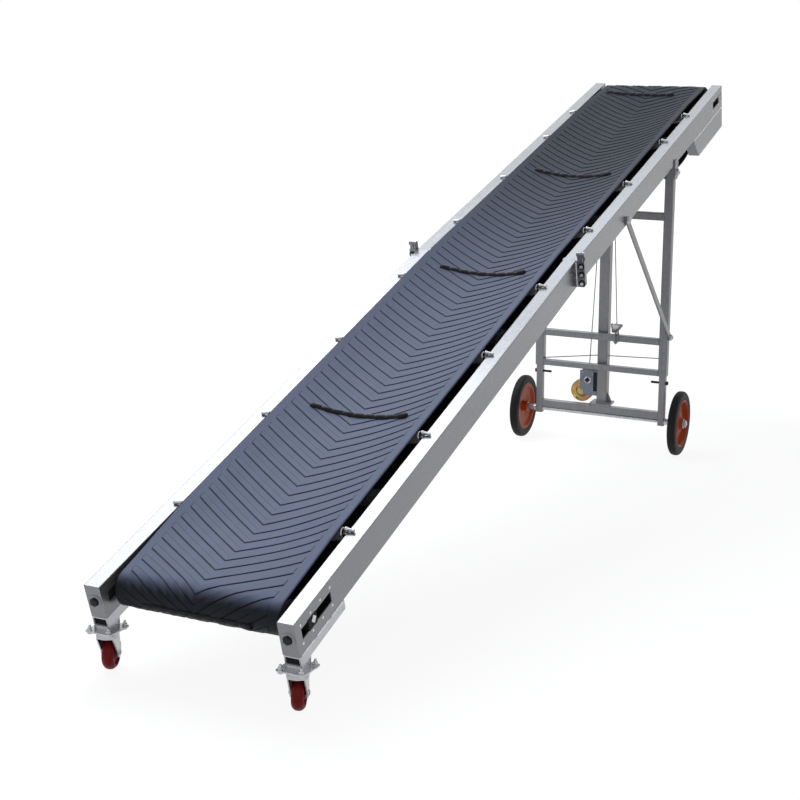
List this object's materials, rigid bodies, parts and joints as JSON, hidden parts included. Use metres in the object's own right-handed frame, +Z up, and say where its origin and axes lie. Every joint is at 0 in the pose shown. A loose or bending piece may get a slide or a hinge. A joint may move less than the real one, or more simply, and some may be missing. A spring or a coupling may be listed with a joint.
{
  "type": "portable folding belt conveyor",
  "caption": "Inclined two-section belt conveyor with troughed chevron belt, fold hinge, swivel tail casters and a winched telescopic leg on two wheels",
  "frame": {"origin": "middle of the bounding box, on the floor", "axes": "X to the discharge head, Y to the left seen from the loading tail, Z up"},
  "size_m": [4.3048, 0.837, 1.7075],
  "materials": {
    "rail_metal": "brushed, bare",
    "leg_steel": "galvanised",
    "belt_rubber": "matt, moulded chevrons",
    "roller_steel": "zinc plated",
    "tyre": "matt black",
    "orange_rim": "gloss paint",
    "red_wheel": "satin polyurethane",
    "zinc": "bright zinc",
    "winch_grey": "satin paint",
    "yellow_zinc": "yellow passivated zinc",
    "rope_steel": "wire rope"
  },
  "bodies": {
    "head_section": {"head_rail_right": "rail_metal", "head_rail_left": "rail_metal", "head_flange_right": "rail_metal", "head_flange_left": "rail_metal", "head_cross_tube_1": "rail_metal", "head_cross_tube_2": "rail_metal", "belt_head_half": "belt_rubber", "head_drum": "roller_steel", "idler_5": "roller_steel", "idler_6": "roller_steel", "idler_7": "roller_steel", "idler_8": "roller_steel", "head_return_roller": "roller_steel", "head_bracket_right": "rail_metal", "head_bracket_left": "rail_metal", "leg_post_right": "leg_steel", "leg_post_left": "leg_steel", "leg_bar_low": "leg_steel", "leg_bar_mid": "leg_steel", "leg_bar_top": "leg_steel", "leg_brace_right": "leg_steel", "leg_brace_left": "leg_steel"},
    "tail_section": {"tail_rail_right": "rail_metal", "tail_rail_left": "rail_metal", "tail_flange_right": "rail_metal", "tail_flange_left": "rail_metal", "tail_cross_tube_1": "rail_metal", "tail_cross_tube_2": "rail_metal", "belt_tail_half": "belt_rubber", "tail_drum": "roller_steel", "take_up_right": "zinc", "take_up_left": "zinc", "idler_1": "roller_steel", "idler_2": "roller_steel", "idler_3": "roller_steel", "idler_4": "roller_steel", "tail_return_roller": "roller_steel", "caster_foot_right": "rail_metal", "caster_foot_left": "rail_metal"},
    "lower_leg": {"lower_post_right": "leg_steel", "lower_post_left": "leg_steel", "lower_bar": "leg_steel", "centre_post": "leg_steel", "rope_sheave": "yellow_zinc", "winch_frame": "winch_grey", "winch_drum": "yellow_zinc", "rope_winch_run": "rope_steel", "rope_fall": "rope_steel", "rear_axle": "zinc"},
    "rear_wheel_right": {"rear_rim_right": "orange_rim", "rear_tyre_right": "tyre"},
    "caster_swivel_right": {"caster_fork_right": "zinc"},
    "caster_wheel_right": {"caster_wheel_right": "red_wheel"},
    "rear_wheel_left": {"rear_rim_left": "orange_rim", "rear_tyre_left": "tyre"},
    "caster_swivel_left": {"caster_fork_left": "zinc"},
    "caster_wheel_left": {"caster_wheel_left": "red_wheel"}
  },
  "joints": [
    {"name": "fold", "type": "hinge", "parent": "head_section", "child": "tail_section", "pos_m": [-0.05399, 0, 1.03837], "axis": [0, 1, 0], "range_deg": [0, 180]},
    {"name": "lift", "type": "slide", "parent": "head_section", "child": "lower_leg", "axis": [0.0971, 0, -0.9953], "range_m": [-0.025, 0.5], "deforming": ["rope_fall"]},
    {"name": "rear_wheel_right", "type": "hinge", "parent": "lower_leg", "child": "rear_wheel_right", "pos_m": [1.40987, -0.3835, 0.15], "axis": [0, 1, 0], "continuous": true},
    {"name": "rear_wheel_left", "type": "hinge", "parent": "lower_leg", "child": "rear_wheel_left", "pos_m": [1.40987, 0.3835, 0.15], "axis": [0, 1, 0], "continuous": true},
    {"name": "caster_swivel_right", "type": "hinge", "parent": "tail_section", "child": "caster_swivel_right", "pos_m": [-2.08242, -0.295, 0.126], "axis": [0, 0, 1], "continuous": true},
    {"name": "caster_roll_right", "type": "hinge", "parent": "caster_swivel_right", "child": "caster_wheel_right", "pos_m": [-2.04953, -0.28303, 0.048], "axis": [-0.342, 0.9397, 0], "continuous": true},
    {"name": "caster_swivel_left", "type": "hinge", "parent": "tail_section", "child": "caster_swivel_left", "pos_m": [-2.08242, 0.295, 0.126], "axis": [0, 0, 1], "continuous": true},
    {"name": "caster_roll_left", "type": "hinge", "parent": "caster_swivel_left", "child": "caster_wheel_left", "pos_m": [-2.04953, 0.30697, 0.048], "axis": [-0.342, 0.9397, 0], "continuous": true}
  ]
}
